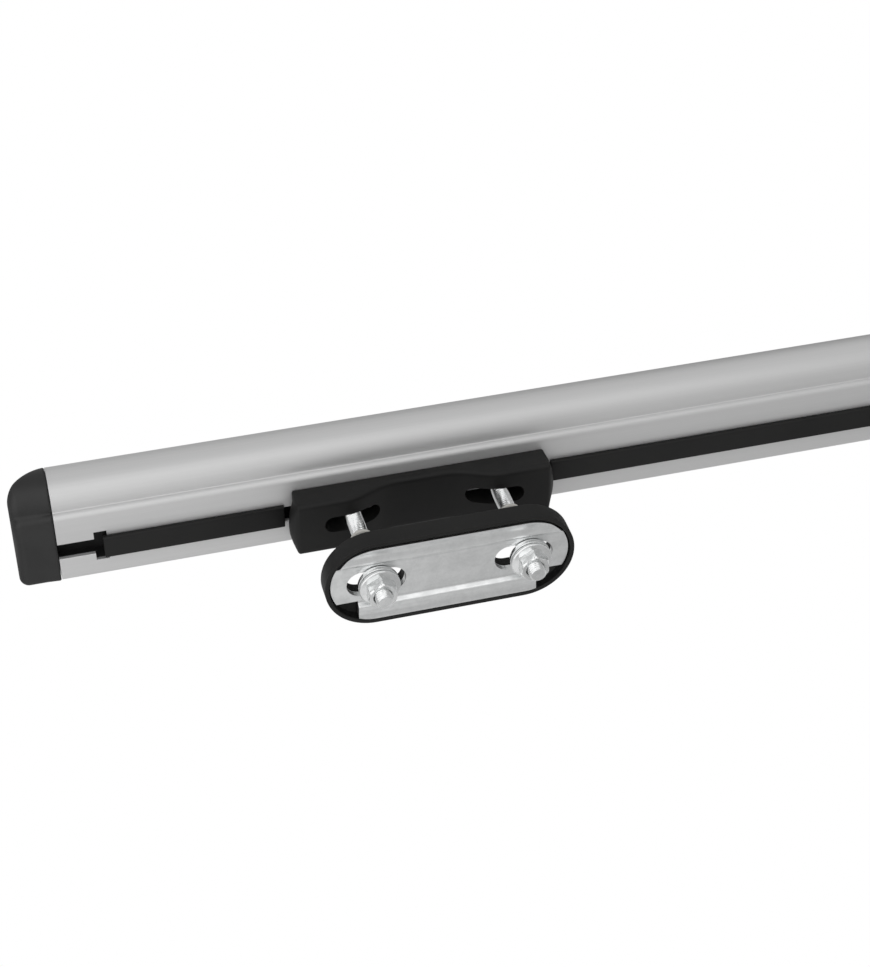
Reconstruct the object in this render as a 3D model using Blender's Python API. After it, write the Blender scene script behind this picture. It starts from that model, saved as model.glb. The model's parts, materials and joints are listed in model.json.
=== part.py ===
"""Bed cargo bar: an extruded aluminium cross bar with two clamp feet.

Metres, +Z up, underside down. X runs along the bar, Z = 0 is the plane of the
flat in each saddle's arch, where a bed rail seats, and X = 0 is half way
between the two feet. The bar's wide nose faces -Y.
"""
import bpy
import bmesh
from math import acos, atan2, cos, degrees, hypot, pi, radians, sin, sqrt

GAP = 0.0003                 # clearance left between pieces that touch

# ---- driving dimensions of the bar -----------------------------------------
BAR_LENGTH = 1.300           # the extrusion, between its end caps
FOOT_X = 0.4775              # centre of each foot from the middle of the bar
WALL = 0.0022                # the extrusion's wall
NOSE_CENTRE = (-0.0233, 0.0152)
NOSE_RADIUS = 0.0123
CROWN_CENTRE = (-0.0060, -0.0608)
CROWN_RADIUS = 0.0901
BACK_CENTRE = (0.0150, 0.0196)
BACK_RADIUS = 0.0070
HEEL_CENTRE = (0.0158, 0.0015)
HEEL_RADIUS = 0.0015
RIDGE_CENTRE = (-0.0183, 0.0030)
RIDGE_RADIUS = 0.0030
CREASE = (-0.0216, 0.0030)   # where the ridge meets the nose

# ---- T-slot in the underside ------------------------------------------------
SLOT_HALF = 0.0043
LIP = 0.0025                 # thickness of the lips beside the slot
CHANNEL_HALF = 0.0081
CHANNEL_TOP = 0.0095
NOTCH_START = 0.017          # notch at the end of the strip, from the bar's end
NOTCH_LENGTH = 0.0061
NOTCH_HALF = 0.0083

# ---- end caps ---------------------------------------------------------------
CAP_LENGTH = 0.0190
CAP_SWEEP = 0.0130           # how far the nose corner is rounded back
CAP_SWEEP_POWER = 1.65       # 2 would be a quarter ellipse; less starts the sweep sooner
CAP_PROUD = 1.02             # the cap's outline over the bar's
CAP_EDGE = 0.0045            # rounding of the cap's outer edges
CAP_HEART = (-0.004, 0.012)  # the rounding pulls the cap's outline towards here
CAP_STATIONS = (0, 0.25, 0.45, 0.6, 0.72, 0.8, 0.88, 0.94, 0.98, 1)  # shares of the cap's length
PLUG_DEPTH = 0.018

# ---- slot strips ------------------------------------------------------------
STRIP_START = 0.0211         # from the bar's end
STRIP_HALF = 0.00615
STRIP_PROUD = 0.0023
STRIP_CHAMFER = 0.0006
STRIP_BARB_HALF = 0.0062
STRIP_TO_PAD = 0.004

# ---- saddle pad -------------------------------------------------------------
PAD_LENGTH = 0.124
PAD_HALF_WIDTH = 0.0150
PAD_OFFSET = 0.0010          # the pad sits this far behind the slot's centre line
PAD_THIN = 0.006             # under the arch
PAD_THICK = 0.0135           # at its ends
ARCH_FLAT_HALF = 0.016
ARCH_HALF = 0.036
PAD_SLOT_X = 0.035
PAD_SLOT = (0.028, 0.009)    # length, width

# ---- clamp plate and its boot -----------------------------------------------
PLATE_FRONT = -0.0515        # the plate's flat front face
PLATE_THICK = 0.003
PLATE_HALF = (0.0566, 0.0208)  # half length and half width, ends round
BAND_OUTER_END = 0.0440      # the lower band, towards the bar's end
BAND_INNER_END = 0.0412      # and towards its middle
BAND_RISE = 0.002            # how far the side bands are pressed forward
BAND_START = 0.0105          # where the press starts, from the centre line
CORNER_V = 0.0100            # the flat is cut back to this beside the lower band
PLATE_SLOT_X = 0.0351
PLATE_SLOT = (0.028, 0.014)
BOOT_HALF = (0.0594, 0.0240) # half length and half width, outside
BOOT_INSIDE = (0.0573, 0.0215)
BOOT_BACK = -0.0433
BOOT_RIM = -0.0530

# ---- fasteners, M8 ----------------------------------------------------------
THREAD_RADIUS = 0.004
BORE_RADIUS = 0.0043
OUTER_BOLT = 0.0345          # from the foot's centre, towards the bar's end
INNER_BOLT = 0.0376          # from the foot's centre, towards the bar's middle
BOLT_DEPTH = 0.0724          # tip below the bar's underside
HEAD_WIDTH = 0.0150
HEAD_THICK = 0.0048
COLLAR_BELOW_PAD = 0.0127
COLLAR_RADIUS = 0.0055
COLLAR_THICK = 0.0016
WASHER_RADIUS = 0.0097
WASHER_THICK = 0.0024
NUT_FLANGE_RADIUS = 0.0098
NUT_ACROSS_FLATS = 0.013
NUT_HEIGHT = 0.008
NUT_RIM = 0.0012             # thickness of the flange's rim
NUT_NECK = 0.0024            # where the flange's cone meets the hexagon
NUT_CHAMFER = 0.0008
NUT_END_RADIUS = 0.00655     # of the chamfered end

UNDERSIDE = PAD_THIN         # height of the bar's underside
BAR_END = BAR_LENGTH / 2
ARC_STEP = radians(9)        # one facet of a rounded corner
ROUND = 36                   # facets round a turned piece

MATERIALS = {                # colour, roughness, metallic
    "anodised_aluminium": ((0.60, 0.60, 0.61), 0.38, 1.0),
    "black_plastic": ((0.020, 0.020, 0.021), 0.38, 0.0),
    "black_rubber": ((0.014, 0.014, 0.014), 0.62, 0.0),
    "zinc_steel": ((0.66, 0.67, 0.69), 0.30, 1.0),
    "nylon": ((0.62, 0.61, 0.57), 0.45, 0.0),
}


def clear_scene():
    for old in list(bpy.data.objects):
        bpy.data.objects.remove(old, do_unlink=True)


def material(name):
    made = bpy.data.materials.get(name)
    if made is None:
        colour, roughness, metallic = MATERIALS[name]
        made = bpy.data.materials.new(name)
        made.use_nodes = True
        shader = made.node_tree.nodes["Principled BSDF"]
        shader.inputs["Base Color"].default_value = (*colour, 1)
        shader.inputs["Roughness"].default_value = roughness
        shader.inputs["Metallic"].default_value = metallic
    return made


def add_object(name, bm, finish, location=(0, 0, 0)):
    """Turn a bmesh into a named object with faces pointing out."""
    bmesh.ops.recalc_face_normals(bm, faces=bm.faces)
    mesh = bpy.data.meshes.new(name)
    bm.to_mesh(mesh)
    bm.free()
    mesh.shade_smooth()
    mesh.set_sharp_from_angle(angle=radians(35))
    mesh.materials.append(material(finish))
    made = bpy.data.objects.new(name, mesh)
    made.location = location
    bpy.context.scene.collection.objects.link(made)
    return made


def combine(target, other, operation):
    """Cut other out of target, or join it on, with a live Boolean."""
    other.hide_render = True
    other.display_type = "WIRE"
    boolean = target.modifiers.new(other.name, "BOOLEAN")
    boolean.operation = operation
    boolean.solver = "EXACT"
    boolean.object = other


def arc(centre, radius, start, end):
    """Points on a circle from start to end, in degrees, both ends included."""
    steps = max(2, round(abs(radians(end - start)) / ARC_STEP))
    angles = [radians(start + (end - start) * i / steps) for i in range(steps + 1)]
    return [(centre[0] + radius * cos(a), centre[1] + radius * sin(a)) for a in angles]


def stadium(half_length, half_width, centre=0.0):
    """A slot outline: two half circles joined by straight sides, along the first axis."""
    run = half_length - half_width
    right = arc((centre + run, 0), half_width, -90, 90)
    left = arc((centre - run, 0), half_width, 90, 270)
    return right + left


def centre_angle(origin, to):
    return degrees(atan2(to[1] - origin[1], to[0] - origin[0]))


def prism(outlines, low, high, axis):
    """Fill closed outlines (the first is outside, the others are holes) and sweep them along axis."""
    place = {"X": lambda a, b, s: (s, a, b),
             "Y": lambda a, b, s: (a, s, b),
             "Z": lambda a, b, s: (a, b, s)}[axis]
    bm = bmesh.new()
    edges = []
    for outline in outlines:
        ring = [bm.verts.new(place(a, b, low)) for a, b in outline]
        edges += [bm.edges.new((ring[i - 1], ring[i])) for i in range(len(ring))]
    bmesh.ops.triangle_fill(bm, use_beauty=True, use_dissolve=False, edges=edges)
    swept = bmesh.ops.extrude_face_region(bm, geom=bm.faces[:])
    tops = [v for v in swept["geom"] if isinstance(v, bmesh.types.BMVert)]
    bmesh.ops.translate(bm, verts=tops, vec=place(0, 0, high - low))
    return bm


def loft(rings, closed):
    """Skin rings of equal point counts; closed joins the last ring to the first."""
    bm = bmesh.new()
    loops = [[bm.verts.new(p) for p in ring] for ring in rings]
    pairs = list(zip(loops, loops[1:]))
    if closed:
        pairs.append((loops[-1], loops[0]))
    else:
        bm.faces.new(loops[0])
        bm.faces.new(loops[-1])
    for a, b in pairs:
        for i in range(len(a)):
            bm.faces.new((a[i - 1], a[i], b[i], b[i - 1]))
    return bm


def polygon_ring(z, across, sides, limit=None):
    """One ring of a turned piece: a circle (sides 0), or a polygon across flats, kept within limit."""
    ring = []
    for i in range(ROUND):
        angle = 2 * pi * i / ROUND
        radius = across / 2
        if sides:
            slice_angle = 2 * pi / sides
            radius /= cos((angle + slice_angle / 2) % slice_angle - slice_angle / 2)
        if limit:
            radius = min(radius, limit)
        ring.append((radius * cos(angle), radius * sin(angle), z))
    return ring


# ---- the extrusion ----------------------------------------------------------
def section(inset):
    """The bar's outer arcs, inset by a wall: nose, crown and back, round to the heel."""
    dy, dz = BACK_CENTRE[0] - HEEL_CENTRE[0], BACK_CENTRE[1] - HEEL_CENTRE[1]
    lean = degrees(atan2(dz, dy) - acos((HEEL_RADIUS - BACK_RADIUS) / hypot(dy, dz)))
    to_nose = centre_angle(CROWN_CENTRE, NOSE_CENTRE)
    to_back = centre_angle(CROWN_CENTRE, BACK_CENTRE)
    foot = centre_angle(NOSE_CENTRE, CREASE) + 360
    nose = arc(NOSE_CENTRE, NOSE_RADIUS - inset, foot, to_nose)
    crown = arc(CROWN_CENTRE, CROWN_RADIUS - inset, to_nose, to_back)
    back = arc(BACK_CENTRE, BACK_RADIUS - inset, to_back, lean)
    return nose + crown[1:] + back[1:], lean


def raise_points(points):
    return [(y, z + UNDERSIDE) for y, z in points]


def outer_outline(with_slot):
    upper, lean = section(0)
    heel = arc(HEEL_CENTRE, HEEL_RADIUS, lean, -90)
    ridge = arc(RIDGE_CENTRE, RIDGE_RADIUS, -90, -180)
    slot = []
    if with_slot:
        slot = [(SLOT_HALF, 0), (SLOT_HALF, LIP), (CHANNEL_HALF, LIP), (CHANNEL_HALF, CHANNEL_TOP)]
        slot += [(-y, z) for y, z in reversed(slot)]
    return raise_points(upper + heel + slot + ridge)


def cavity_outline(inset):
    """The hollow round the T-slot's channel, reduced by inset for a plug that fills it."""
    upper, _ = section(WALL + inset)
    floor = WALL + inset
    side = CHANNEL_HALF + WALL + inset
    roof = CHANNEL_TOP + WALL + inset
    right = [(HEEL_CENTRE[0] - floor, floor), (side, floor), (side, roof)]
    left = [(-side, roof), (-side, floor), (RIDGE_CENTRE[0], floor)]
    return raise_points(upper + right + left)


def bar_profile():
    bm = prism([outer_outline(True), cavity_outline(0)], -BAR_END, BAR_END, "X")
    bar = add_object("bar_profile", bm, "anodised_aluminium")
    for side in (-1, 1):
        start = side * (BAR_END - NOTCH_START)
        end = start - side * NOTCH_LENGTH
        low, high = sorted((start, end))
        box = [(-NOTCH_HALF, UNDERSIDE - LIP), (NOTCH_HALF, UNDERSIDE - LIP),
               (NOTCH_HALF, UNDERSIDE + 2 * LIP), (-NOTCH_HALF, UNDERSIDE + 2 * LIP)]
        cutter = add_object(f"notch_cutter_{side}", prism([box], low, high, "X"), "anodised_aluminium")
        combine(bar, cutter, "DIFFERENCE")


# ---- end caps ---------------------------------------------------------------
def cap_ring(outline, out):
    """The cap's outline at a distance out from the bar: the nose corner sweeps back, the edges round off."""
    reach = min(1.0, out / CAP_LENGTH)
    sweep = CAP_SWEEP * (1 - (1 - reach ** CAP_SWEEP_POWER) ** (1 / CAP_SWEEP_POWER))
    nose_limit = max((z - y) / sqrt(2) for y, z in outline) - sweep
    over = max(0.0, out - (CAP_LENGTH - CAP_EDGE))
    pull = CAP_EDGE - sqrt(max(0.0, CAP_EDGE ** 2 - over ** 2))
    heart_y, heart_z = CAP_HEART[0], CAP_HEART[1] + UNDERSIDE
    ring = []
    for y, z in outline:
        y, z = heart_y + (y - heart_y) * CAP_PROUD, heart_z + (z - heart_z) * CAP_PROUD
        beyond = (z - y) / sqrt(2) - nose_limit
        if beyond > 0:
            y, z = y + beyond / sqrt(2), z - beyond / sqrt(2)
        away = hypot(y - heart_y, z - heart_z)
        ring.append((y + (heart_y - y) * pull / away, z + (heart_z - z) * pull / away))
    return ring


def end_cap(name, side):
    outline = outer_outline(False)
    face = BAR_END + GAP
    rings = [[(side * (face + CAP_LENGTH * s), y, z) for y, z in cap_ring(outline, CAP_LENGTH * s)]
             for s in CAP_STATIONS]
    cap = add_object(name, loft(rings, False), "black_plastic")
    low, high = sorted((side * (BAR_END - PLUG_DEPTH), side * (face + CAP_EDGE)))
    plug = add_object(f"{name}_plug", prism([cavity_outline(GAP)], low, high, "X"), "black_plastic")
    combine(cap, plug, "UNION")


# ---- rubber strips that close the slot --------------------------------------
def slot_strip(name, low, high):
    stem = SLOT_HALF - GAP
    barb = LIP + GAP
    profile = [(-STRIP_HALF, -GAP), (-STRIP_HALF + STRIP_CHAMFER, -STRIP_PROUD),
               (STRIP_HALF - STRIP_CHAMFER, -STRIP_PROUD),
               (STRIP_HALF, -GAP), (stem, -GAP), (stem, barb), (STRIP_BARB_HALF, barb),
               (stem, barb + STRIP_PROUD), (-stem, barb + STRIP_PROUD), (-STRIP_BARB_HALF, barb),
               (-stem, barb), (-stem, -GAP)]
    add_object(name, prism([raise_points(profile)], low, high, "X"), "black_rubber")


# ---- one clamp foot ---------------------------------------------------------
def saddle_pad(name, centre):
    top = UNDERSIDE - GAP
    deep = UNDERSIDE - PAD_THICK
    half = PAD_LENGTH / 2
    steps = 9
    slope = []
    for i in range(steps + 1):
        x = -ARCH_HALF + (ARCH_HALF - ARCH_FLAT_HALF) * i / steps
        slope.append((x, deep * (1 + cos(pi * i / steps)) / 2))
    side = [(-half, top), (-half, deep)] + slope
    outline = side + [(-x, z) for x, z in reversed(side)]
    block = prism([outline], PAD_OFFSET - PAD_HALF_WIDTH, PAD_OFFSET + PAD_HALF_WIDTH, "Y")
    pad = add_object(name, block, "black_rubber", (centre, 0, 0))
    cut_slots(pad, PAD_SLOT_X, PAD_SLOT, deep - LIP, UNDERSIDE + LIP)


def cut_slots(target, slot_x, slot, low, high):
    for side in (-1, 1):
        outline = stadium(slot[0] / 2, slot[1] / 2, side * slot_x)
        cutter = add_object(f"{target.name}_slot_{side}", prism([outline], low, high, "Z"), "black_rubber",
                            target.location)
        combine(target, cutter, "DIFFERENCE")


def plate_boot(name, centre):
    outside = prism([stadium(*BOOT_HALF)], BOOT_RIM, BOOT_BACK, "Z")
    boot = add_object(name, outside, "black_rubber", (centre, 0, 0))
    recess_top = PLATE_FRONT + PLATE_THICK + GAP
    recess = prism([stadium(*BOOT_INSIDE)], BOOT_RIM - PLATE_THICK, recess_top, "Z")
    combine(boot, add_object(f"{name}_recess", recess, "black_rubber", (centre, 0, 0)), "DIFFERENCE")
    cut_slots(boot, PLATE_SLOT_X, PLATE_SLOT, BOOT_RIM, BOOT_BACK + PLATE_THICK)


def clamp_plate(name, centre, side):
    """A pressed plate with round ends and, along both sides, a band pressed forward."""
    back = PLATE_FRONT + PLATE_THICK
    raised = PLATE_FRONT - BAND_RISE
    bend = BAND_START + BAND_RISE
    wide, long = PLATE_HALF[1] + BAND_RISE, PLATE_HALF[0] + BAND_RISE
    low, high = raised - PLATE_THICK, back + PLATE_THICK
    front = [(-wide, raised), (-bend, raised), (-BAND_START, PLATE_FRONT)]
    rear = [(-BAND_START, back), (-bend, back - BAND_RISE), (-wide, back - BAND_RISE)]
    section = front + [(-y, z) for y, z in reversed(front)] + [(-y, z) for y, z in reversed(rear)] + rear
    plate = add_object(name, prism([section], -long, long, "X"), "zinc_steel", (centre, 0, 0))
    for end, towards in ((BAND_OUTER_END, side), (BAND_INNER_END, -side)):
        beyond = 2 * long
        corner = [(end, CORNER_V), (beyond, CORNER_V), (beyond, 2 * wide), (end, 2 * wide)]
        spare = prism([[(towards * x, y) for x, y in corner]], low, high, "Z")
        combine(plate, add_object(f"{name}_corner_{towards}", spare, "zinc_steel", (centre, 0, 0)), "DIFFERENCE")
    trim = prism([stadium(*PLATE_HALF)], low, high, "Z")
    combine(plate, add_object(f"{name}_trim", trim, "zinc_steel", (centre, 0, 0)), "INTERSECT")
    cut_slots(plate, PLATE_SLOT_X, PLATE_SLOT, low, high)


def t_bolt(name, x):
    """A headed stud, its origin on its own axis: a square head in the channel and a round shank down."""
    seat = UNDERSIDE + LIP + GAP
    tip = UNDERSIDE - BOLT_DEPTH
    chamfer = THREAD_RADIUS / 5
    rings = [polygon_ring(tip, 2 * (THREAD_RADIUS - chamfer), 0),
             polygon_ring(tip + chamfer, 2 * THREAD_RADIUS, 0),
             polygon_ring(seat, 2 * THREAD_RADIUS, 0),
             polygon_ring(seat, HEAD_WIDTH, 4),
             polygon_ring(seat + HEAD_THICK, HEAD_WIDTH, 4)]
    add_object(name, loft(rings, False), "zinc_steel", (x, 0, 0))


def ring_piece(name, x, low, thick, radius, finish):
    rings = [polygon_ring(low, 2 * BORE_RADIUS, 0), polygon_ring(low, 2 * radius, 0),
             polygon_ring(low + thick, 2 * radius, 0), polygon_ring(low + thick, 2 * BORE_RADIUS, 0)]
    add_object(name, loft(rings, True), finish, (x, 0, 0))


def flange_nut(name, x):
    """A hexagon on a round flange, its flange up against the washer."""
    top = PLATE_FRONT - WASHER_THICK - 2 * GAP
    rim = top - NUT_RIM
    neck = top - NUT_NECK
    base = top - NUT_HEIGHT
    rings = [polygon_ring(top, 2 * BORE_RADIUS, 0),
             polygon_ring(top, 2 * NUT_FLANGE_RADIUS, 0),
             polygon_ring(rim, 2 * NUT_FLANGE_RADIUS, 0),
             polygon_ring(neck, NUT_ACROSS_FLATS, 6),
             polygon_ring(base + NUT_CHAMFER, NUT_ACROSS_FLATS, 6),
             polygon_ring(base, NUT_ACROSS_FLATS, 6, NUT_END_RADIUS),
             polygon_ring(base, 2 * BORE_RADIUS, 0)]
    add_object(name, loft(rings, True), "zinc_steel", (x, 0, 0))


def clamp_foot(name, side):
    centre = side * FOOT_X
    saddle_pad(f"saddle_pad_{name}", centre)
    plate_boot(f"plate_boot_{name}", centre)
    clamp_plate(f"clamp_plate_{name}", centre, side)
    bolts = {"outer": centre + side * OUTER_BOLT, "inner": centre - side * INNER_BOLT}
    collar = UNDERSIDE - PAD_THICK - COLLAR_BELOW_PAD - COLLAR_THICK
    for place, x in bolts.items():
        t_bolt(f"t_bolt_{place}_{name}", x)
        ring_piece(f"retaining_washer_{place}_{name}", x, collar, COLLAR_THICK, COLLAR_RADIUS, "nylon")
        washer = PLATE_FRONT - GAP - WASHER_THICK
        ring_piece(f"washer_{place}_{name}", x, washer, WASHER_THICK, WASHER_RADIUS, "zinc_steel")
        flange_nut(f"flange_nut_{place}_{name}", x)


clear_scene()
bar_profile()
far = FOOT_X + PAD_LENGTH / 2 + STRIP_TO_PAD
near = FOOT_X - PAD_LENGTH / 2 - STRIP_TO_PAD
slot_strip("slot_strip_left", -BAR_END + STRIP_START, -far)
slot_strip("slot_strip_middle", -near, near)
slot_strip("slot_strip_right", far, BAR_END - STRIP_START)
for label, direction in (("left", -1), ("right", 1)):
    end_cap(f"end_cap_{label}", direction)
    clamp_foot(label, direction)
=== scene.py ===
# Bed cargo bar: a satin anodised cross bar, on clamp feet of black rubber and zinc-plated steel.
import json
from math import pi, radians

import bmesh
import bpy
import numpy as np
from mathutils import Matrix, Vector


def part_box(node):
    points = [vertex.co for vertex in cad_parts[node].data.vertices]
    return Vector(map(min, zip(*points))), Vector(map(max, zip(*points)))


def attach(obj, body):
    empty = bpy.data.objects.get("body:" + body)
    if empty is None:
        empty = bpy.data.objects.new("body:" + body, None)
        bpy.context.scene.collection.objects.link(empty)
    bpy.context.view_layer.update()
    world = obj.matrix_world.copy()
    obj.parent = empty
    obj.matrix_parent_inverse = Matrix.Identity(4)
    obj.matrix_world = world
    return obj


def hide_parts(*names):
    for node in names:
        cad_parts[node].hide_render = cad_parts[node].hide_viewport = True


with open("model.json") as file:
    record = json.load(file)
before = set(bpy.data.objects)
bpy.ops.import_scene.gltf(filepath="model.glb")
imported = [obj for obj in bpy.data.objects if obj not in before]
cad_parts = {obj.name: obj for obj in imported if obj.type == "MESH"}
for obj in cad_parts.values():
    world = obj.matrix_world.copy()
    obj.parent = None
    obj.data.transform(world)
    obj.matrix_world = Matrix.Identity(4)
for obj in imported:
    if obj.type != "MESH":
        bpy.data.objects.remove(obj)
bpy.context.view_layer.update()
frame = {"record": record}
sides = {"left": -1, "right": 1}
clearance = 0.0003   # between pieces that touch, as in the frame
print("frame loaded")


# Points on a circle: centre + radius * (cos a, sin a), with a running evenly from start to stop in degrees.
def arcPoints(centre, radius, start, stop, count):
    angle = np.radians(np.linspace(start, stop, count))
    return np.stack([centre[0] + radius * np.cos(angle), centre[1] + radius * np.sin(angle)], 1)


# A slot outline: two half circles of radius halfWidth, their centres halfLength - halfWidth from the middle.
def stadiumPoints(halfLength, halfWidth, count, middle=0.0):
    run = halfLength - halfWidth
    right = arcPoints((middle + run, 0), halfWidth, -90, 90, count)
    left = arcPoints((middle - run, 0), halfWidth, 90, 270, count)
    return np.concatenate([right, left])


# Skins a stack of rings, shape (rings, points, 3), with quads. ends is "fill" for a face on the first and
# last ring, or "join" to run the last ring back to the first. The faces are turned until the signed volume
# is positive, so that they point out.
def skin(name, rings, ends="fill", sharp=32):
    rows, columns = rings.shape[:2]
    index = np.arange(rows * columns).reshape(rows, columns)
    if ends == "join":
        index = np.concatenate([index, index[:1]])
    here, there = index[:-1], index[1:]
    quads = np.stack([here, np.roll(here, -1, 1), np.roll(there, -1, 1), there], -1).reshape(-1, 4)
    faces = quads.tolist()
    if ends == "fill":
        faces += [index[0, ::-1].tolist(), index[-1].tolist()]
    mesh = bpy.data.meshes.new(name)
    mesh.from_pydata(rings.reshape(-1, 3), [], faces)
    solid = bmesh.new()
    solid.from_mesh(mesh)
    bmesh.ops.remove_doubles(solid, verts=solid.verts, dist=1e-7)
    if solid.calc_volume(signed=True) < 0:
        bmesh.ops.reverse_faces(solid, faces=solid.faces)
    solid.to_mesh(mesh)
    solid.free()
    mesh.shade_smooth()
    mesh.set_sharp_from_angle(angle=radians(sharp))
    piece = bpy.data.objects.new(name, mesh)
    bpy.context.scene.collection.objects.link(piece)
    return piece


# Carries a flat outline, shape (points, 2), along X, Y or Z through the given stations.
def carry(outline, stations, along="X"):
    outline = np.broadcast_to(outline, (len(stations),) + np.shape(outline)[-2:])
    reach = np.broadcast_to(np.asarray(stations, float)[:, None], outline.shape[:2])
    first, second = outline[..., 0], outline[..., 1]
    order = {"X": (reach, first, second), "Y": (first, reach, second), "Z": (first, second, reach)}
    return np.stack(order[along], -1)


# Cuts or joins other into piece for good, and throws other away.
def carve(piece, other, operation="DIFFERENCE", sharp=32):
    boolean = piece.modifiers.new("carve", "BOOLEAN")
    boolean.operation, boolean.solver, boolean.object = operation, "EXACT", other
    graph = bpy.context.evaluated_depsgraph_get()
    mesh = bpy.data.meshes.new_from_object(piece.evaluated_get(graph))
    piece.modifiers.clear()
    piece.data = mesh
    mesh.name = piece.name
    mesh.shade_smooth()
    mesh.set_sharp_from_angle(angle=radians(sharp))
    bpy.data.objects.remove(other)
    return piece


# Gives a finished piece its material, its body and the frame node that it stands for.
def settle(piece, finish, node):
    piece.data.materials.clear()
    piece.data.materials.append(finish)
    body = next(b for b, members in frame["record"]["behaviour"]["bodies"].items() if node in members)
    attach(piece, body)
    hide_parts(node)


# The middle of a node's box.
def middleOf(node):
    low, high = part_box(node)
    return (low + high) / 2


class Wire:   # a socket that arithmetic works on
    def __init__(self, tree, socket=None):
        self.tree, self.socket = tree, socket

    def node(self, kind, settings=None, inputs=None, output=0):
        made = self.tree.nodes.new(kind)
        for key, value in (settings or {}).items():
            if key == "stops":
                for stop in range(len(value) - 2):
                    made.color_ramp.elements.new(0.5)
                for element, (place, shade) in zip(made.color_ramp.elements, value):
                    element.position, element.color = place, (shade, shade, shade, 1)
            else:
                setattr(made, key, value)
        for key, value in (inputs or {}).items():
            if isinstance(value, Wire):
                self.tree.links.new(value.socket, made.inputs[key])
            else:
                made.inputs[key].default_value = value
        return Wire(self.tree, made.outputs[output])

    def maths(self, operation, first, second):
        return self.node("ShaderNodeMath", {"operation": operation}, {0: first, 1: second})

    def __add__(self, other):
        return self.maths("ADD", self, other)

    def __radd__(self, other):
        return self.maths("ADD", other, self)

    def __sub__(self, other):
        return self.maths("SUBTRACT", self, other)

    def __rsub__(self, other):
        return self.maths("SUBTRACT", other, self)

    def __mul__(self, other):
        return self.maths("MULTIPLY", self, other)

    def __rmul__(self, other):
        return self.maths("MULTIPLY", other, self)

    def __gt__(self, other):
        return self.maths("GREATER_THAN", self, other)

    def __lt__(self, other):
        return self.maths("LESS_THAN", self, other)

    def size(self):
        return self.maths("ABSOLUTE", self, 0.0)

    def noise(self, scale, detail=3.0, stretch=(1, 1, 1), roughness=0.55):   # stretch scales each axis first
        spread = self.node("ShaderNodeMapping", None, {"Vector": self, "Scale": stretch})
        return self.node("ShaderNodeTexNoise", None, {"Vector": spread, "Scale": scale, "Detail": detail,
                                                      "Roughness": roughness})

    def ramp(self, *stops):
        return self.node("ShaderNodeValToRGB", {"stops": stops}, {"Fac": self})

    def blend(self, low, high):   # low where self is 0, high where it is 1
        return self.node("ShaderNodeMix", {"data_type": "RGBA"}, {0: self, 6: low, 7: high}, 2)

    def bump(self, distance, strength=1.0):
        given = {"Height": self, "Distance": distance, "Strength": strength}
        return self.node("ShaderNodeBump", None, given)


# A material with its shader's constants set, and the place that its pattern is read at.
def startFinish(name, constants):
    material = bpy.data.materials.new(name)
    material.use_nodes = True
    shader = material.node_tree.nodes["Principled BSDF"]
    for key, value in constants.items():
        shader.inputs[key].default_value = value
    place = Wire(material.node_tree).node("ShaderNodeTexCoord", output="Object")

    def link(**varying):
        for key, wire in varying.items():
            socket = shader.inputs[key.replace("_", " ")]
            material.node_tree.links.new(wire.socket, socket)
        return material
    return place, link


# inside is the near black of the painted shade in the slot's channel; the three after it bound where that
# painted shade goes
anodised = {"dull": (0.66, 0.66, 0.66, 1), "bright": (0.72, 0.72, 0.72, 1), "inside": (0.04, 0.04, 0.04, 1),
            "roughness": 0.50, "paintedShadeFrom": 0.0019, "paintedShadeAbove": 0.0005, "paintedShadeBeside": 0.0004}


# Die lines run the whole length of the bar, over a fine even etch. Inside the slot's channel the metal is
# painted nearly black: painted shade, where little light gets in.
def anodisedFinish():
    place, link = startFinish("anodisedAluminium", {"Metallic": 0.6, "Specular IOR Level": 0.3})
    lines = place.noise(1400, 2, (0.004, 1, 1))
    broad = place.noise(90, 2, (0.02, 1, 1))
    etch = place.noise(5200, 2)
    tone = (lines * 0.3 + broad * 0.7).ramp((0.3, 0), (0.7, 1))
    height = place.node("ShaderNodeSeparateXYZ", None, {0: place}, "Z")
    across = place.node("ShaderNodeSeparateXYZ", None, {0: place}, "Y")
    roof = underside + barShape["channelTop"] + anodised["paintedShadeAbove"]
    reach = barShape["channelHalf"] + anodised["paintedShadeBeside"]
    # painted shade: the channel above the lips' first part is painted near black
    deep = (height > underside + anodised["paintedShadeFrom"]) * (height < roof)
    inside = deep * (across < reach) * (across > -reach)
    colour = inside.blend(tone.blend(anodised["dull"], anodised["bright"]), anodised["inside"])
    rough = anodised["roughness"] - 0.03 + lines * 0.05 + inside * 0.3
    bump = (lines * 0.4 + etch * 0.3).bump(0.00001, 0.5)
    return link(Base_Color=colour, Roughness=rough, Normal=bump)


moulded = {"dark": (0.010, 0.010, 0.010, 1), "light": (0.016, 0.016, 0.016, 1), "roughness": 0.38}


# Satin plastic with a fine spark-eroded grain.
def mouldedFinish():
    place, link = startFinish("mouldedPlastic", {"Metallic": 0.0, "Specular IOR Level": 0.5})
    grain = place.noise(3200, 2)
    cloud = place.noise(60, 3)
    colour = cloud.ramp((0.35, 0), (0.65, 1)).blend(moulded["dark"], moulded["light"])
    rough = moulded["roughness"] + grain * 0.10 + cloud * 0.05
    return link(Base_Color=colour, Roughness=rough, Normal=grain.bump(0.00003, 0.6))


rubber = {"dark": (0.005, 0.005, 0.005, 1), "light": (0.011, 0.011, 0.010, 1), "roughness": 0.46}


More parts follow.
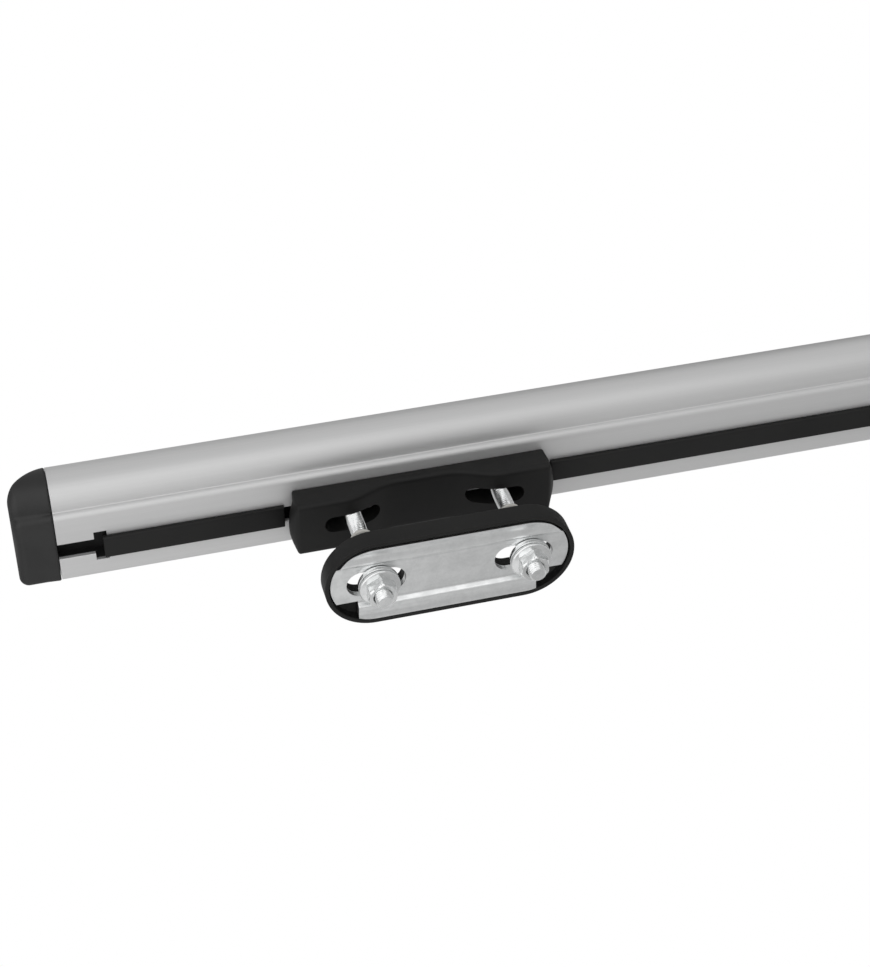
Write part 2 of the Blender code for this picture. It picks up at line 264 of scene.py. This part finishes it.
# Matt rubber: a cloudy bloom, a fine grain and a few lighter scuffs.
def rubberFinish(name, lift=1.0):
    place, link = startFinish(name, {"Metallic": 0.0, "Specular IOR Level": 0.32})
    cloud = place.noise(45, 4)
    grain = place.noise(2400, 3)
    scuffs = place.noise(240, 4, (1, 1, 1), 0.7).ramp((0.58, 0), (0.74, 1))
    dark = tuple(v * lift for v in rubber["dark"][:3]) + (1,)
    light = tuple(v * lift for v in rubber["light"][:3]) + (1,)
    tone = cloud.ramp((0.3, 0), (0.7, 1)) * 0.7 + scuffs * 0.3
    rough = rubber["roughness"] + grain * 0.12 + cloud * 0.08
    height = grain * 0.4 + cloud * 0.6
    return link(Base_Color=tone.blend(dark, light), Roughness=rough, Normal=height.bump(0.00006, 0.6))


# Bands across the plate for the bends' painted light: painted shade in the root, painted highlight on the
# crest, painted shade at the edge; wander wobbles them
zinc = {"dull": (0.76, 0.77, 0.77, 1), "bright": (0.93, 0.94, 0.94, 1), "paintedRootShade": (0.0098, 0.0122),
        "paintedCrestHighlight": (0.0122, 0.0150), "edge": (0.0180, 0.0200), "wander": 0.0012}


# Zinc plate on rolled steel: patches of duller crystals, faint rolling lines and small dents. Where bends
# are given, a painted highlight runs along each bend's crest, and painted shade runs along its root and the
# band's edge.
def zincFinish(name, roughness, mottle, dents, lines=0.3, paintedBendLight=0.0):
    place, link = startFinish(name, {"Metallic": 1.0})
    patches = place.noise(150, 5, (1, 1, 1), 0.65).ramp((0.36, 0), (0.62, 1))
    crystals = place.node("ShaderNodeTexVoronoi", None, {"Vector": place, "Scale": 900.0}, "Color")
    crystals = crystals.ramp((0.0, 0), (1.0, 1))
    rolled = place.noise(700, 2, (0.03, 1, 1))
    tone = (patches * 0.6 + crystals * 0.2 + rolled * lines).ramp((0.1, 0), (0.9, 1))
    if paintedBendLight:   # painted highlight along each bend's crest, painted shade along its root and the band's edge, broken up by streaks
        wander = place.noise(60, 3, (0.3, 1, 1)) * zinc["wander"] - zinc["wander"] / 2
        off = (place.node("ShaderNodeSeparateXYZ", None, {0: place}, "Y") + wander).size()
        paintedLightBands = [(off > zinc[part][0]) * (off < zinc[part][1]) for part in ("paintedRootShade", "paintedCrestHighlight", "edge")]
        paintedStreaks = place.noise(260, 4, (0.12, 1, 1), 0.7).ramp((0.35, 0), (0.65, 1))
        tone = tone + paintedBendLight * (paintedLightBands[1] * (0.3 + paintedStreaks) - paintedLightBands[0] * (0.5 + paintedStreaks) - paintedLightBands[2] * paintedStreaks)
    colour = tone.blend(zinc["dull"], zinc["bright"])
    rough = roughness + (1 - patches) * mottle + crystals * mottle * 0.3
    height = place.noise(420, 4, (1, 1, 1), 0.6) * 0.7 + rolled * 0.3
    return link(Base_Color=colour, Roughness=rough, Normal=height.bump(dents, 0.7))


nylon = {"low": (0.55, 0.54, 0.50, 1), "high": (0.72, 0.71, 0.67, 1)}


# Natural nylon, slightly waxy and uneven.
def nylonFinish():
    place, link = startFinish("nylonRing", {"Metallic": 0.0, "Specular IOR Level": 0.5})
    cloud = place.noise(300, 3)
    return link(Base_Color=cloud.blend(nylon["low"], nylon["high"]), Roughness=0.35 + cloud * 0.15,
                Normal=cloud.bump(0.00004, 0.5))


barShape = {"noseCentre": (-0.0233, 0.0152), "noseRadius": 0.0123, "crownCentre": (-0.0060, -0.0608),
            "crownRadius": 0.0901, "backCentre": (0.0150, 0.0196), "backRadius": 0.0070,
            "heelCentre": (0.0158, 0.0015), "heelRadius": 0.0015, "ridgeCentre": (-0.0183, 0.0030),
            "ridgeRadius": 0.0030, "creaseFillet": 0.0006, "slotHalf": 0.0043, "lip": 0.0025,
            "channelHalf": 0.0081, "channelTop": 0.0095, "lipEdge": 0.00035,
            "notchStart": 0.017, "notchLength": 0.0061, "notchHalf": 0.0083, "notchStep": 0.00002}
barLow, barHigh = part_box("bar_profile")
underside = barLow.z


def angleTo(origin, target):
    return float(np.degrees(np.arctan2(target[1] - origin[1], target[0] - origin[0])))


# The wall between heel and back is the common tangent of their two circles; this is its normal's angle.
def wallAngle():
    offset = np.subtract(barShape["backCentre"], barShape["heelCentre"])
    drop = (barShape["heelRadius"] - barShape["backRadius"]) / np.hypot(*offset)
    return float(np.degrees(np.arctan2(offset[1], offset[0]) - np.arccos(drop)))


# The section above the underside: nose, crown and back arcs, the heel, then the ridge and its crease.
# Returned in two runs, so that the slot's lips can go between them.
def outerSection():
    toNose = angleTo(barShape["crownCentre"], barShape["noseCentre"])
    toBack = angleTo(barShape["crownCentre"], barShape["backCentre"])
    lean = wallAngle()
    nose = arcPoints(barShape["noseCentre"], barShape["noseRadius"], 276, toNose, 72)
    crown = arcPoints(barShape["crownCentre"], barShape["crownRadius"], toNose, toBack, 24)
    back = arcPoints(barShape["backCentre"], barShape["backRadius"], toBack, lean, 20)
    heel = arcPoints(barShape["heelCentre"], barShape["heelRadius"], lean, -90, 12)
    ridge = arcPoints(barShape["ridgeCentre"], barShape["ridgeRadius"], -90, -168, 20)
    fillet = barShape["creaseFillet"]
    corner = (ridge[-1, 0] - fillet, nose[0, 1] - fillet)
    crease = arcPoints(corner, fillet, 12, 90, 6)
    return np.concatenate([nose, crown[1:], back[1:], heel]), np.concatenate([ridge, crease])


# Half of the slot, from its mouth to the channel's roof, with the lips reaching in to lipHalf.
def slotSection(lipHalf):
    edge = barShape["lipEdge"]
    mouth = arcPoints((lipHalf + edge, edge), edge, -90, -180, 5)
    lip, side, roof = barShape["lip"], barShape["channelHalf"], barShape["channelTop"]
    return np.concatenate([mouth, [(lipHalf, lip), (side, lip), (side, roof)]])


def barSection(lipHalf):
    upper, ridge = outerSection()
    right = slotSection(lipHalf)
    left = right[::-1] * (-1, 1)
    return np.concatenate([upper, right, left, ridge]) + (0, underside)


def buildBar(finish):
    step = barShape["notchStep"]   # the run over which the lips stop at a notch
    near = barHigh.x - barShape["notchStart"]
    far = near - barShape["notchLength"]
    half = [(barHigh.x, False), (near + step, False), (near, True), (far, True), (far - step, False)]
    stations = [(-x, notched) for x, notched in half] + half[::-1]
    narrow, wide = barSection(barShape["slotHalf"]), barSection(barShape["notchHalf"])
    outlines = np.stack([wide if notched else narrow for _, notched in stations])
    piece = skin("barBody", carry(outlines, [x for x, _ in stations]))
    settle(piece, finish, "bar_profile")


capShape = {"sweep": 0.0130, "sweepPower": 1.65, "edge": 0.0045, "proud": 1.02, "heart": (-0.004, 0.012),
            "stations": 56, "faceRings": 10, "lipRound": 0.0005, "points": 300, "softness": 0.0011,
            "sweepBlend": 0.0012, "softRun": 0.35}


# The bar's outline without its slot, swelled from the heart. At a distance out from the bar the nose corner
# is swept back by sweep * (1 - (1 - s^p)^(1/p)), with s the share of the length. Near the end face all of it
# is drawn towards the heart by a quarter circle of radius edge.
def capRing(outline, out, length):
    heart = np.add(capShape["heart"], (0, underside))
    ring = heart + (outline - heart) * capShape["proud"]
    share, power = min(1.0, out / length), capShape["sweepPower"]
    sweep = capShape["sweep"] * (1 - (1 - share ** power) ** (1 / power))
    diagonal = np.array([-1, 1]) / np.sqrt(2)
    near = ring @ diagonal - (outline @ diagonal).max() + sweep
    soft = capShape["sweepBlend"]   # the sweep meets the flank in a parabola this wide
    beyond = np.where(near > soft, near, np.where(near > -soft, (near + soft) ** 2 / (4 * soft), 0))
    ring = ring - beyond[:, None] * diagonal
    edge = capShape["edge"]
    over = max(0.0, out - (length - edge))
    pull = edge - np.sqrt(max(0.0, edge ** 2 - over ** 2))
    pull += capShape["lipRound"] * max(0.0, 1 - out / capShape["lipRound"]) ** 2
    toHeart = heart - ring
    return ring + toHeart / np.linalg.norm(toHeart, axis=1)[:, None] * pull


# An outline at even spacing, and the same outline blurred along its length by a bell curve.
def softened(outline):
    closed = np.concatenate([outline, outline[:1]])
    run = np.concatenate([[0], np.cumsum(np.linalg.norm(np.diff(closed, axis=0), axis=1))])
    at = np.linspace(0, run[-1], capShape["points"], endpoint=False)
    even = np.stack([np.interp(at, run, closed[:, axis]) for axis in (0, 1)], 1)
    gap = np.minimum(at, run[-1] - at)
    bell = np.exp(-(gap / capShape["softness"]) ** 2 / 2)
    bell /= bell.sum()
    soft = np.stack([np.fft.ifft(np.fft.fft(even[:, axis]) * np.fft.fft(bell)).real for axis in (0, 1)], 1)
    return even, soft


def buildCap(label, finish):
    side = sides[label]
    low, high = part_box(f"end_cap_{label}")
    face = side * barHigh.x + side * clearance
    length = max(abs(low.x), abs(high.x)) - abs(face)
    upper, ridge = outerSection()
    outline = np.concatenate([upper, ridge]) + (0, underside)
    heart = np.add(capShape["heart"], (0, underside))
    outs = length * np.sin(np.linspace(0, pi / 2, capShape["stations"]))
    even, soft = softened(outline)
    fades = np.clip(outs / (length * capShape["softRun"]), 0, 1)
    rings = [capRing(even + (soft - even) * fade, out, length) for out, fade in zip(outs, fades)]
    shrink = np.linspace(0.9, 0, capShape["faceRings"])
    ends = [heart + (rings[-1] - heart) * s for s in shrink]
    starts = [heart + (rings[0] - heart) * s for s in shrink[::-1]]
    outlines = np.stack(starts + rings + ends)
    reach = [face] * len(starts) + [face + side * out for out in outs] + [face + side * length] * len(ends)
    settle(skin(f"endCap_{label}", carry(outlines, reach), sharp=60), finish, f"end_cap_{label}")


stripShape = {"stem": 0.0040, "barb": 0.0061, "barbRise": 0.0028, "edge": 0.0009, "slack": 0.00005,
              "endInset": 0.0004, "endRound": 0.00024}


# The strip's section: a cap with rounded edges, a stem through the slot and a barb in the channel.
# At both ends the cap is drawn in a little, which rounds its corners.
def buildStrip(label, finish):
    node = f"slot_strip_{label}"
    low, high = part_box(node)
    slack, edge = stripShape["slack"], stripShape["edge"]
    half, bottom, top = high.y - slack, low.z, underside - clearance
    stem, barb, rise = stripShape["stem"], stripShape["barb"], underside + stripShape["barbRise"]
    capLeft = arcPoints((-half + edge, bottom + edge), edge, 180, 270, 6)
    across = np.linspace(-half + edge, half - edge, 9)[1:-1]
    face = np.stack([across, np.full(len(across), bottom)], 1)
    capRight = arcPoints((half - edge, bottom + edge), edge, 270, 360, 6)
    inner = [(half, top), (stem, top), (stem, rise), (barb, rise), (stem, high.z - slack)]
    inner += [(-y, z) for y, z in reversed(inner)]
    inset = stripShape["endInset"]
    stations = np.array([low.x, low.x + inset, high.x - inset, high.x])
    rings = carry(np.concatenate([capLeft, face, capRight, inner]), stations)
    lift = (rings[[0, -1], :, 2] < top) * stripShape["endRound"]
    rings[[0, -1], :, 2] += lift
    settle(skin(f"slotStrip_{label}", rings), finish, node)


padShape = {"archFlat": 0.012, "archHalf": 0.039, "deepEdge": 0.0026, "backEdge": 0.0006,
            "endRound": 0.0010, "slotX": 0.035, "slotHalf": (0.014, 0.0045), "stations": 121,
            "bulge": 0.0032, "bulgeTop": 0.0034, "bulgeRun": 0.004, "margin": 0.002}


# Height of the pad's seat along X: flat under the arch, then half a cosine wave down to its ends.
def seatHeight(x, deep):
    share = np.clip((np.abs(x) - padShape["archFlat"]) / (padShape["archHalf"] - padShape["archFlat"]), 0, 1)
    return deep * (1 - np.cos(pi * share)) / 2


# The pad's section, from its seat to the bar's underside, drawn in by pull all round.
def padRing(at, pull, low, high):
    deep, back = padShape["deepEdge"], padShape["backEdge"]
    floor, roof = seatHeight(at, low.z) + pull, high.z - pull
    right, left = high.y - pull, low.y + pull
    across = np.linspace(0, 1, 26)[1:-1]
    up = np.linspace(0, 1, 8)[1:-1]
    roofRun = np.stack([right - back + (left - right + 2 * back) * across, np.full(len(across), roof)], 1)
    leftRun = np.stack([np.full(len(up), left), roof - back + (floor + deep - roof + back) * up], 1)
    floorRun = np.stack([left + deep + (right - left - 2 * deep) * across, np.full(len(across), floor)], 1)
    rightRun = np.stack([np.full(len(up), right), floor + deep + (roof - back - floor - deep) * up], 1)
    return np.concatenate([
        arcPoints((right - back, roof - back), back, 0, 90, 5), roofRun,
        arcPoints((left + back, roof - back), back, 90, 180, 5), leftRun,
        arcPoints((left + deep, floor + deep), deep, 180, 270, 9), floorRun,
        arcPoints((right - deep, floor + deep), deep, 270, 360, 9), rightRun])


# The end faces swell outward below the strips: sin(pi * height share) * (1 - (y share) ^ 2) of the bulge.
def buildPad(label, finish):
    node = f"saddle_pad_{label}"
    low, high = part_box(node)
    middle, half = (low.x + high.x) / 2, (high.x - low.x) / 2
    edge = padShape["endRound"]
    ends = half - edge * (1 - np.sin(np.linspace(0, 1, 7) * pi / 2))
    x = np.concatenate([-ends[::-1], np.linspace(-ends[0], ends[0], padShape["stations"])[1:-1], ends])
    over = np.maximum(0, np.abs(x) - ends[0])
    pulls = edge - np.sqrt(np.maximum(0, edge ** 2 - over ** 2))
    rings = np.stack([padRing(at, pull, low, high) for at, pull in zip(x, pulls)])
    shrink = np.linspace(0, 1, 9)[1:-1, None, None]
    start, stop = rings[0], rings[-1]
    starts = start.mean(0) + (start - start.mean(0)) * shrink
    stops = stop.mean(0) + (stop - stop.mean(0)) * shrink[::-1]
    outlines = np.concatenate([starts, rings, stops])
    reach = np.concatenate([np.full(len(shrink), -half), x, np.full(len(shrink), half)])
    points = carry(outlines, reach + middle)
    share = np.clip((points[..., 2] - low.z) / (padShape["bulgeTop"] - low.z), 0, 1)
    inside = np.clip(1 - ((points[..., 1] - (low.y + high.y) / 2) / ((high.y - low.y) / 2)) ** 2, 0, 1)
    swell = padShape["bulge"] * np.sin(pi * share) * inside
    endOnly = np.clip((np.abs(points[..., 0] - middle) - half) / padShape["bulgeRun"] + 1, 0, 1)
    points[..., 0] += np.sign(points[..., 0] - middle) * swell * endOnly
    piece = skin(f"saddlePad_{label}", points, sharp=50)
    for side in (-1, 1):
        hole = stadiumPoints(*padShape["slotHalf"], 24, middle + side * padShape["slotX"])
        through = [low.z - padShape["margin"], high.z + padShape["margin"]]
        carve(piece, skin("hole", carry(hole, through, "Z")), sharp=50)
    settle(piece, finish, node)


bootShape = {"wallLong": 0.0020, "wallSide": 0.0025, "backEdge": 0.0007, "rimEdge": 0.0005,
             "floorRise": 0.0048, "slotX": 0.0351, "slotHalf": (0.0140, 0.0070), "arc": 48,
             "cove": 0.0004, "spine": 0.0001, "margin": 0.003}


# A tray: its section, as insets from the outer outline against height, is carried round a stadium.
def buildBoot(label, finish):
    node = f"plate_boot_{label}"
    low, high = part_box(node)
    middle = middleOf(node)
    half = np.array([(high.x - low.x) / 2, (high.y - low.y) / 2])
    wall = np.array([bootShape["wallLong"], bootShape["wallSide"]])
    edge, lipRound = bootShape["backEdge"], bootShape["rimEdge"]
    backArc = arcPoints((edge, high.z - edge), edge, 90, 180, 10)
    inner = wall[1] - lipRound
    rimArc = np.concatenate([arcPoints((lipRound, low.z + lipRound), lipRound, 180, 270, 6),
                             arcPoints((inner, low.z + lipRound), lipRound, 270, 360, 6)])
    floorZ = high.z - bootShape["floorRise"]
    profile = [(inset, inset, z) for inset, z in backArc]
    profile += [(inset * wall[0] / wall[1], inset, z) for inset, z in rimArc]
    cove = bootShape["cove"]
    profile += [(wall[0], wall[1], floorZ - cove), (wall[0] + cove, wall[1] + cove, floorZ)]
    rings = [stadiumPoints(half[0] - a, half[1] - b, bootShape["arc"]) for a, b, _ in profile]
    thin = bootShape["spine"]
    spine = stadiumPoints(half[0] - half[1] + thin, thin, bootShape["arc"])
    outlines = np.stack([spine] + rings + [spine]) + (middle.x, middle.y)
    heights = [high.z] + [z for _, _, z in profile] + [floorZ]
    piece = skin(f"plateBoot_{label}", carry(outlines, heights, "Z"), sharp=50)
    for side in (-1, 1):
        hole = stadiumPoints(*bootShape["slotHalf"], 24, middle.x + side * bootShape["slotX"])
        through = [floorZ - bootShape["margin"], high.z + bootShape["margin"]]
        carve(piece, skin("hole", carry(hole, through, "Z")), sharp=50)
    settle(piece, finish, node)


plateShape = {"thick": 0.003, "rise": 0.002, "bandStart": 0.0105, "bandSlope": 0.0026,
              "lowerEnds": (0.0440, 0.0412), "cornerV": 0.0100, "hollow": 0.0005, "hollowStart": 0.0135,
              "hollowWidth": 0.0072, "slotX": 0.0351, "slotHalf": (0.0140, 0.0070), "margin": 0.002}


# How far forward the bands stand: a smooth step, less a shallow hollow along the band's middle.
def bandRise(v):
    share = np.clip((np.abs(v) - plateShape["bandStart"]) / plateShape["bandSlope"], 0, 1)
    along = np.clip((np.abs(v) - plateShape["hollowStart"]) / plateShape["hollowWidth"], 0, 1)
    step = plateShape["rise"] * share * share * (3 - 2 * share)
    return step - plateShape["hollow"] * np.sin(pi * along) ** 2


# One pressed sheet. Both lower corners are cut back to the flat, then a stadium trims the outline.
def buildPlate(label, finish):
    node, side = f"clamp_plate_{label}", sides[label]
    low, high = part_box(node)
    middle, margin = middleOf(node), plateShape["margin"]
    half = ((high.x - low.x) / 2, (high.y - low.y) / 2)
    back = high.z
    front = back - plateShape["thick"]
    span = [low.z - margin, back + margin]
    wide, long = half[1] + margin, half[0] + margin
    v = np.linspace(-wide, wide, 141)
    rise = bandRise(v)
    outline = np.concatenate([np.stack([v, front - rise], 1), np.stack([v[::-1], back - rise[::-1]], 1)])
    piece = skin(f"clampPlate_{label}", carry(outline, [middle.x - long, middle.x + long]), sharp=40)
    corner = plateShape["cornerV"]
    for towards, end in zip((side, -side), plateShape["lowerEnds"]):
        box = np.array([(end, corner), (2 * long, corner), (2 * long, 2 * wide), (end, 2 * wide)])
        box = box * (towards, 1) + (middle.x, 0)
        carve(piece, skin("spare", carry(box, span, "Z")), sharp=40)
    trim = skin("trim", carry(stadiumPoints(*half, 40, middle.x), span, "Z"))
    carve(piece, trim, "INTERSECT", 40)
    for towards in (-1, 1):
        hole = stadiumPoints(*plateShape["slotHalf"], 24, middle.x + towards * plateShape["slotX"])
        carve(piece, skin("hole", carry(hole, span, "Z")), sharp=40)
    settle(piece, finish, node)


boltShape = {"radius": 0.0040, "pitch": 0.00125, "threadDepth": 0.00068, "perPitch": 8, "around": 48,
             "plainNeck": 0.001, "pointRun": 0.0009, "pointRadius": 0.003184, "pointRise": 0.0012,
             "pointFace": 0.0003, "headEdge": 0.0006, "headCorner": 0.66}
ringShape = {"bore": 0.0043, "around": 72, "washerEdge": 0.0004, "retainerEdge": 0.0003}
nutShape = {"acrossFlats": 0.0130, "around": 144, "flangeEdge": 0.0009, "cone": 0.30, "bore": 0.0043,
            "cornerRound": 0.0002, "rimDrop": 0.0002, "endInset": 0.0002, "chamfer": 1.6, "sink": 0.0005}


# Distance from the axis to a regular polygon's side, for every angle.
def polygonRadius(angle, acrossFlats, corners):
    sector = 2 * pi / corners
    return acrossFlats / 2 / np.cos((angle + sector / 2) % sector - sector / 2)


# Rings about a vertical axis from radii, shape (rings, around), and heights.
def turned(name, centre, radii, heights, angle, ends, sharp=32):
    radii = np.broadcast_to(radii, (len(heights), len(angle)))
    x = centre.x + radii * np.cos(angle)
    y = centre.y + radii * np.sin(angle)
    z = np.broadcast_to(np.asarray(heights)[:, None], radii.shape)
    return skin(name, np.stack([x, y, z], -1), ends, sharp)


# The thread is a helix: the radius is the outer radius less a rounded triangle wave of z / pitch plus the
# angle's share of a turn. It is drawn in at the point. A square head with clipped corners tops it.
def buildBolt(place, label, finish):
    node = f"t_bolt_{place}_{label}"
    low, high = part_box(node)
    width, radius, pitch = high.x - low.x, boltShape["radius"], boltShape["pitch"]
    seat = underside + barShape["lip"] + clearance
    angle = np.linspace(0, 2 * pi, boltShape["around"], endpoint=False)
    count = int((seat - low.z) / pitch * boltShape["perPitch"])
    z = np.linspace(low.z, seat - boltShape["plainNeck"], count)
    wave = np.abs((z[:, None] / pitch + angle / (2 * pi)) % 1 * 2 - 1)
    wave = wave * wave * (3 - 2 * wave)
    fromPoint = np.clip((z - low.z) / boltShape["pointRun"], 0, 1)[:, None]
    point = boltShape["pointRadius"] + fromPoint * boltShape["pointRise"]
    shank = np.minimum(radius - boltShape["threadDepth"] * wave, point)
    head = np.minimum(polygonRadius(angle + pi / 4, width, 4), width * boltShape["headCorner"])
    edge, level = boltShape["headEdge"], np.ones(len(angle))
    radii = [level * 0, shank[0] - boltShape["pointFace"], *shank, level * radius, head, head, head - edge,
             level * 0]
    heights = [low.z, low.z, *z, seat, seat, high.z - edge, high.z, high.z]
    piece = turned(f"tBolt_{place}_{label}", middleOf(node), np.stack(radii), heights, angle, "fill")
    settle(piece, finish, node)


# A ring with rounded edges.
def buildRing(name, node, edge, finish):
    low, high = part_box(node)
    radius, bore = (high.x - low.x) / 2, ringShape["bore"]
    angle = np.linspace(0, 2 * pi, ringShape["around"], endpoint=False)
    foot = arcPoints((radius - edge, low.z + edge), edge, 270, 360, 5)
    head = arcPoints((radius - edge, high.z - edge), edge, 0, 90, 5)
    profile = np.concatenate([[(bore, low.z)], foot, head, [(bore, high.z)]])
    piece = turned(name, middleOf(node), profile[:, :1], profile[:, 1], angle, "join")
    settle(piece, finish, node)


# A hexagon on a flange, from the washer outwards: the flange's rounded rim, its cone, which runs into the
# hexagon's foot, the hexagon, and a chamfer by a cone, so that the radius is the smaller of the two.
def buildNut(place, label, finish):
    node = f"flange_nut_{place}_{label}"
    low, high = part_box(node)
    flange, flat = (high.x - low.x) / 2, nutShape["acrossFlats"] / 2
    bore, edge, sink = nutShape["bore"], nutShape["flangeEdge"], nutShape["sink"]
    angle = np.linspace(0, 2 * pi, nutShape["around"], endpoint=False)
    level = np.ones(len(angle))
    hexagon = polygonRadius(angle, nutShape["acrossFlats"], 6)
    hexagon = np.minimum(hexagon, flat / np.cos(pi / 6) - nutShape["cornerRound"])
    rim = arcPoints((flange - edge, high.z - edge - nutShape["rimDrop"]), edge, 80, -60, 9)
    neck = high.z - nutShape["cone"] * (high.z - low.z)
    radii = [level * bore, level * (flange - edge)] + [level * radius for radius in rim[:, 0]]
    heights = [high.z, high.z, *rim[:, 1]]
    for share in np.linspace(0, 1, 6)[1:]:
        radii.append(np.maximum(hexagon, rim[-1, 0] + (flat - rim[-1, 0]) * share))
        heights.append(rim[-1, 1] + (neck - rim[-1, 1]) * share)
    for z in np.linspace(neck, low.z, 15)[1:]:
        radii.append(np.minimum(hexagon, flat - nutShape["endInset"] + (z - low.z) * nutShape["chamfer"]))
        heights.append(z)
    radii += [level * (bore + sink), level * bore]
    heights += [low.z, low.z + sink]
    piece = turned(f"flangeNut_{place}_{label}", middleOf(node), np.stack(radii), heights, angle, "join")
    settle(piece, finish, node)


stageShape = {"floorHeight": -3.0, "floorHalf": 8.0, "low": (0.80, 0.80, 0.80, 1),
              "high": (0.84, 0.84, 0.84, 1)}
cameraShape = {"place": (-0.6690, -0.6182, -0.7203), "back": (-0.20537, -0.63241, -0.74691),
               "up": (0.16390, -0.77463, 0.61081), "lens": 75.37}
# Each light: where it stands, where it aims, its width and height, and its power.
lightShape = {
    "key": ((-1.15, -0.20, -1.25), (-0.5, 0, 0), (1.6, 1.5), 6),
    "bench": ((-0.85, 1.15, -1.10), (-0.5, 0, 0), (1.2, 0.9), 1.2),
    "front": ((-0.50, -1.25, -1.00), (-0.50, 0, 0), (2.0, 1.1), 5),
}


def buildStage():
    size, height = stageShape["floorHalf"], stageShape["floorHeight"]
    mesh = bpy.data.meshes.new("paleFloor")
    corners = [(-size, -size, height), (size, -size, height), (size, size, height), (-size, size, height)]
    mesh.from_pydata(corners, [], [(0, 1, 2, 3)])
    floor = bpy.data.objects.new("paleFloor", mesh)
    bpy.context.scene.collection.objects.link(floor)
    place, link = startFinish("paleFloor", {"Specular IOR Level": 0.1})
    cloud = place.noise(3, 2)
    colour = cloud.blend(stageShape["low"], stageShape["high"])
    mesh.materials.append(link(Base_Color=colour, Roughness=0.8 + cloud * 0.1))


def buildLights():
    for name, (place, aim, size, power) in lightShape.items():
        light = bpy.data.lights.new(name, "AREA")
        light.shape, light.size, light.size_y, light.energy = "RECTANGLE", size[0], size[1], power
        lamp = bpy.data.objects.new(name, light)
        lamp.location = place
        lamp.rotation_mode = "QUATERNION"
        lamp.rotation_quaternion = (Vector(place) - Vector(aim)).to_track_quat("Z", "Y")
        bpy.context.scene.collection.objects.link(lamp)


# The room is a soft grey, darker overhead on the right, and white where it is seen directly.
roomShape = {"tone": 0.63, "shade": 0.12, "towards": (0.6, 0.8), "from": 0.74, "until": 0.97}


def buildRoom():
    world = bpy.data.worlds.new("room")
    bpy.context.scene.world = world
    world.use_nodes = True
    tree = world.node_tree
    place = Wire(tree).node("ShaderNodeTexCoord", output="Generated")
    along = place.node("ShaderNodeSeparateXYZ", None, {0: place}, "X") * roomShape["towards"][0]
    up = place.node("ShaderNodeSeparateXYZ", None, {0: place}, "Z") * roomShape["towards"][1]
    stops = (roomShape["from"], roomShape["tone"]), (roomShape["until"], roomShape["shade"])
    tone = (along + up).ramp(*stops)
    seen = Wire(tree).node("ShaderNodeLightPath", output="Is Camera Ray")
    shade = seen.blend(tone, (1, 1, 1, 1))
    tree.links.new(shade.socket, tree.nodes["Background"].inputs["Color"])


def buildCamera():
    lens = bpy.data.cameras.new("camera")
    lens.lens, lens.sensor_width = cameraShape["lens"], 36
    camera = bpy.data.objects.new("camera", lens)
    back, up = Vector(cameraShape["back"]).normalized(), Vector(cameraShape["up"])
    right = up.cross(back).normalized()
    turn = Matrix((right, back.cross(right), back)).transposed().to_4x4()
    camera.matrix_world = Matrix.Translation(cameraShape["place"]) @ turn
    bpy.context.scene.collection.objects.link(camera)
    bpy.context.scene.camera = camera


buildCamera()
buildStage()
buildLights()
buildRoom()
bpy.context.scene.view_settings.view_transform = "Standard"
print("stage, light and camera set")

anodisedMetal = anodisedFinish()
capPlastic = mouldedFinish()
padRubber = rubberFinish("padRubber")
stripRubber = rubberFinish("stripRubber", 0.8)
# the plate's bends get a painted highlight and painted shade
plateZinc = zincFinish("plateZinc", 0.28, 0.08, 0.00006, 0.15, 0.3)
boltZinc = zincFinish("boltZinc", 0.20, 0.04, 0.00001, 0.1)
ringNylon = nylonFinish()
print("finishes made")

buildBar(anodisedMetal)
for label in ("left", "middle", "right"):
    buildStrip(label, stripRubber)
for label in sides:
    buildCap(label, capPlastic)
    buildPad(label, padRubber)
    buildBoot(label, padRubber)
    buildPlate(label, plateZinc)
    for place in ("outer", "inner"):
        buildBolt(place, label, boltZinc)
        buildNut(place, label, boltZinc)
        spot = f"{place}_{label}"
        buildRing(f"plainWasher_{spot}", f"washer_{spot}", ringShape["washerEdge"], boltZinc)
        buildRing(f"retainingRing_{spot}", f"retaining_washer_{spot}", ringShape["retainerEdge"], ringNylon)
    print(f"{label} foot built")
